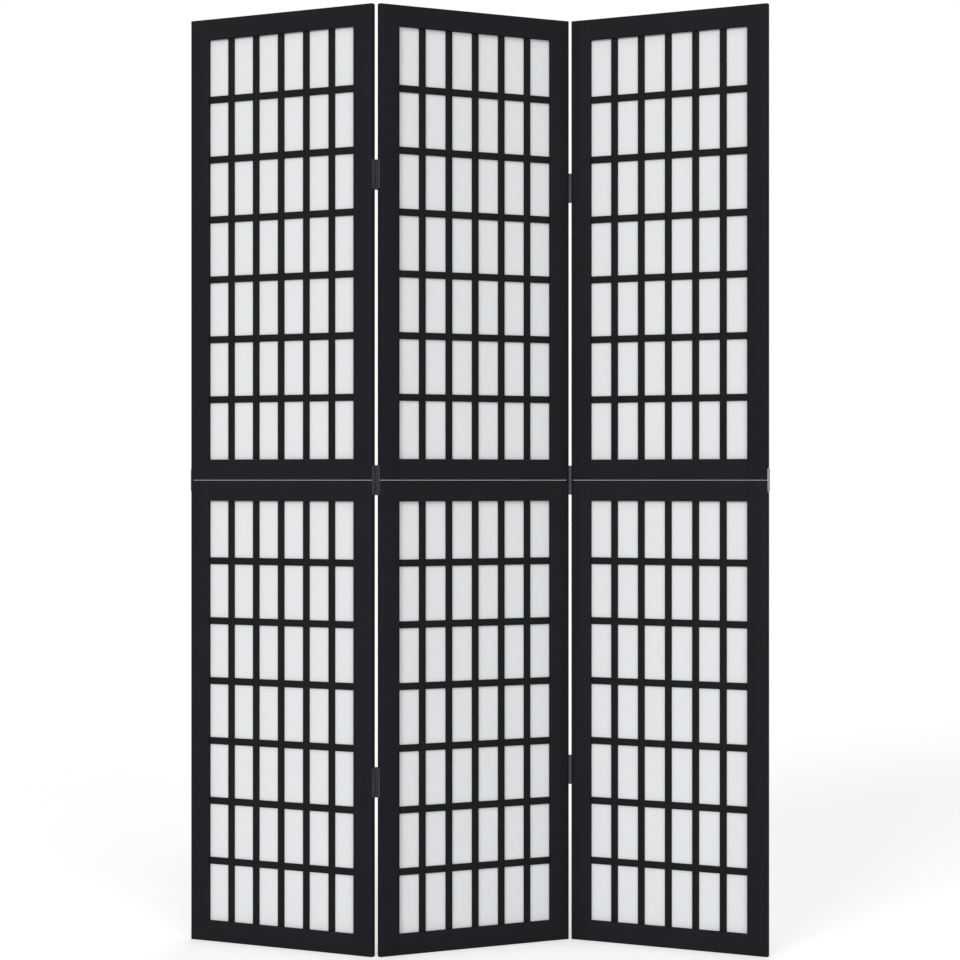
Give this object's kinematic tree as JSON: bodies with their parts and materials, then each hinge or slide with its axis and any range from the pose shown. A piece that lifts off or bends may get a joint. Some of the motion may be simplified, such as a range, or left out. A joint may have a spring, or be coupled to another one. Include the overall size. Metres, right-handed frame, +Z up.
{
  "type": "folding screen",
  "caption": "Room divider of tall hinged panels that fold in a zigzag, each with a black wooden frame and slat lattice over white paper.",
  "frame": {"origin": "on the floor, at the middle of the screen's bounding box in its standing zigzag pose", "axes": "+X to the right along the screen seen from its lattice side, +Y away from that side towards the back, +Z up"},
  "size_m": [1.0228, 0.16, 1.65],
  "materials": {
    "frame_paint": "matt black paint over softwood",
    "slat_paint": "matt black paint over thin softwood slats",
    "paper": "matte white fibre paper",
    "hinge_steel": "dark grey paint on steel",
    "zinc": "zinc plated steel, satin"
  },
  "bodies": {
    "middle_panel": {"middle_lower_left_stile": "frame_paint", "middle_lower_right_stile": "frame_paint", "middle_lower_bottom_rail": "frame_paint", "middle_lower_top_rail": "frame_paint", "middle_lower_lattice": "slat_paint", "middle_lower_paper": "paper", "middle_upper_left_stile": "frame_paint", "middle_upper_right_stile": "frame_paint", "middle_upper_bottom_rail": "frame_paint", "middle_upper_top_rail": "frame_paint", "middle_upper_lattice": "slat_paint", "middle_upper_paper": "paper", "left_joint_bottom_hinge_middle_leaf": "hinge_steel", "left_joint_bottom_hinge_pin": "hinge_steel", "left_joint_seam_hinge_middle_leaf": "hinge_steel", "left_joint_seam_hinge_pin": "hinge_steel", "left_joint_top_hinge_middle_leaf": "hinge_steel", "left_joint_top_hinge_pin": "hinge_steel", "right_joint_bottom_hinge_middle_leaf": "hinge_steel", "right_joint_bottom_hinge_pin": "hinge_steel", "right_joint_seam_hinge_middle_leaf": "hinge_steel", "right_joint_seam_hinge_pin": "hinge_steel", "right_joint_top_hinge_middle_leaf": "hinge_steel", "right_joint_top_hinge_pin": "hinge_steel"},
    "left_panel": {"left_lower_left_stile": "frame_paint", "left_lower_right_stile": "frame_paint", "left_lower_bottom_rail": "frame_paint", "left_lower_top_rail": "frame_paint", "left_lower_lattice": "slat_paint", "left_lower_paper": "paper", "left_upper_left_stile": "frame_paint", "left_upper_right_stile": "frame_paint", "left_upper_bottom_rail": "frame_paint", "left_upper_top_rail": "frame_paint", "left_upper_lattice": "slat_paint", "left_upper_paper": "paper", "left_joint_bottom_hinge_side_leaf": "hinge_steel", "left_joint_seam_hinge_side_leaf": "hinge_steel", "left_joint_top_hinge_side_leaf": "hinge_steel", "left_edge_tie_plate": "zinc", "left_edge_lower_plate_screw": "zinc", "left_edge_upper_plate_screw": "zinc"},
    "right_panel": {"right_lower_left_stile": "frame_paint", "right_lower_right_stile": "frame_paint", "right_lower_bottom_rail": "frame_paint", "right_lower_top_rail": "frame_paint", "right_lower_lattice": "slat_paint", "right_lower_paper": "paper", "right_upper_left_stile": "frame_paint", "right_upper_right_stile": "frame_paint", "right_upper_bottom_rail": "frame_paint", "right_upper_top_rail": "frame_paint", "right_upper_lattice": "slat_paint", "right_upper_paper": "paper", "right_joint_bottom_hinge_side_leaf": "hinge_steel", "right_joint_seam_hinge_side_leaf": "hinge_steel", "right_joint_top_hinge_side_leaf": "hinge_steel", "right_edge_tie_plate": "zinc", "right_edge_lower_plate_screw": "zinc", "right_edge_upper_plate_screw": "zinc"}
  },
  "joints": [
    {"name": "left_fold", "type": "hinge", "parent": "middle_panel", "child": "left_panel", "pos_m": [-0.17089, -0.06755, 0.825], "axis": [0, 0, 1], "range_deg": [-131.5, 48.5]},
    {"name": "right_fold", "type": "hinge", "parent": "middle_panel", "child": "right_panel", "pos_m": [0.17089, 0.06755, 0.825], "axis": [0, 0, 1], "range_deg": [-131.5, 48.5]}
  ]
}
